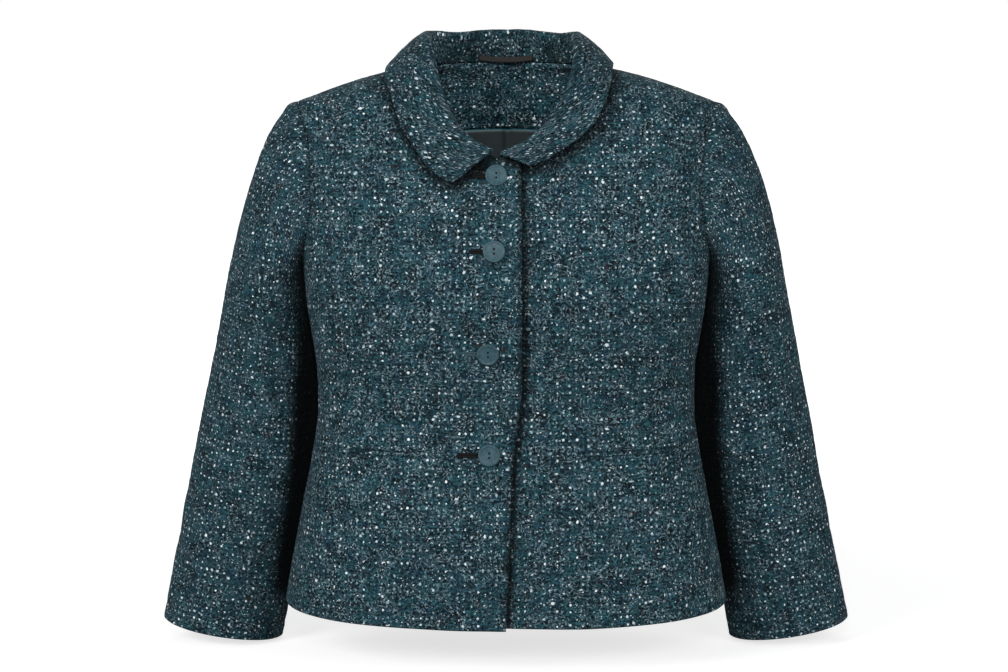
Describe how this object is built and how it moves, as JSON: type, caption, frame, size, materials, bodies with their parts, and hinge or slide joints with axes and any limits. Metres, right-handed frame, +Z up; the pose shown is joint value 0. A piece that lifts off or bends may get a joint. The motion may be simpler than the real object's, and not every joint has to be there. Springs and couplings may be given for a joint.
{
  "type": "tweed jacket",
  "caption": "Short collared tweed jacket with long set-in sleeves, buttoned down the front and filled out as when worn, hollow and open at neck, hem and cuffs.",
  "frame": {"origin": "midway between the two points where the shoulder seams meet the neck seam, where a wearer's shoulders hold the jacket up", "axes": "+X to the wearer's left, along the jacket's width; +Y to the back; +Z up"},
  "size_m": [0.6672, 0.2396, 0.5861],
  "materials": {
    "tweed": "rough nubbly tweed, teal and grey with pale flecks",
    "lining": "smooth dark lining",
    "tape": "dark woven tape",
    "button": "satin"
  },
  "bodies": {
    "root": {"front_right": "tweed", "front_left": "tweed", "back": "tweed", "sleeve_right": "tweed", "sleeve_left": "tweed", "collar": "tweed", "back_neck_facing": "tweed", "pocket_mouth_right": "tweed", "pocket_mouth_left": "tweed", "back_lining": "lining", "hanger_loop": "tape", "button_1": "button", "button_2": "button", "button_3": "button", "button_4": "button"}
  },
  "joints": []
}
